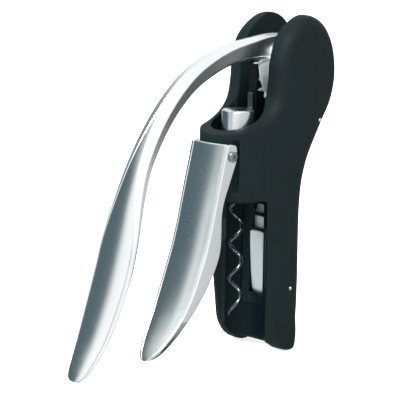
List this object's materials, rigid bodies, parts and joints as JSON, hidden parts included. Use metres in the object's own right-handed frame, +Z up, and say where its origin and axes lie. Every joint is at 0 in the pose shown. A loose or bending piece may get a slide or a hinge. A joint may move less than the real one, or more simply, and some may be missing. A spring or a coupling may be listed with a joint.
{
  "type": "lever corkscrew",
  "caption": "Upright lever corkscrew: a long lever turns a toothed sector that lifts a rack carriage with a worm, beside a squeeze clamp handle for the bottle neck.",
  "frame": {"origin": "centre of the whole object's footprint box, at the height of the foot", "axes": "+Z up along the worm, -Y to the front where the lever and clamp handle hang, +X to the right hand cheek"},
  "size_m": [0.0424, 0.1648, 0.1729],
  "materials": {
    "soft_black": "black body with a soft-touch coat, fine matt grain",
    "inner_black": "black moulded plastic, slightly glossier than the body",
    "satin_metal": "cast metal with a fine satin finish, bright broad highlights",
    "chrome": "polished chrome plate",
    "steel": "bright steel, lightly brushed",
    "dark_steel": "blackened steel",
    "coated_worm": "steel with a dark non-stick coat, glossy",
    "brass": "plain brass",
    "rubber": "black rubber"
  },
  "bodies": {
    "housing": {"housing": "soft_black", "inner_frame": "inner_black", "neck_liner": "inner_black", "spring_strip": "steel", "nut_block": "inner_black", "worm_nut": "brass", "upper_cross_pin": "steel", "lower_cross_pin": "steel", "lever_axle": "steel", "axle_bush_right": "steel", "axle_bush_left": "steel", "clamp_axle": "steel", "clamp_screw_right": "steel", "clamp_screw_left": "steel", "return_spring": "steel"},
    "lever": {"lever": "satin_metal", "toothed_sector": "steel", "sector_rivet_front": "steel", "sector_rivet_rear": "steel"},
    "carriage": {"carriage_core": "inner_black", "chrome_cap": "chrome", "rack": "dark_steel", "rack_clip": "steel", "rack_screw": "steel", "thrust_washer": "brass", "worm_retainer": "inner_black"},
    "worm": {"worm": "coated_worm", "worm_head": "steel"},
    "clamp_handle": {"clamp_handle": "satin_metal", "clamp_jaw": "inner_black", "jaw_pad_right": "rubber", "jaw_pad_left": "rubber", "jaw_screw_upper": "steel", "jaw_screw_lower": "steel"}
  },
  "joints": [
    {"name": "lever_swing", "type": "hinge", "parent": "housing", "child": "lever", "pos_m": [0, 0.0601, 0.147], "axis": [-1, 0, 0], "range_deg": [0, 140]},
    {"name": "carriage_slide", "type": "slide", "parent": "housing", "child": "carriage", "axis": [0, 0, 1], "range_m": [0, 0.044]},
    {"name": "worm_spin", "type": "hinge", "parent": "carriage", "child": "worm", "pos_m": [0, 0.0281, 0.09], "axis": [0, 0, 1], "range_deg": [0, 866]},
    {"name": "clamp_squeeze", "type": "hinge", "parent": "housing", "child": "clamp_handle", "pos_m": [0, 0.0109, 0.1049], "axis": [1, 0, 0], "range_deg": [0, 14], "stiffness_Nm_per_rad": 0.06, "springref_deg": -34.38}
  ],
  "couplings": [
    {"joint": "carriage_slide", "follows": "lever_swing", "m_per_rad": 0.018},
    {"joint": "worm_spin", "follows": "lever_swing", "ratio": 6.1802}
  ]
}
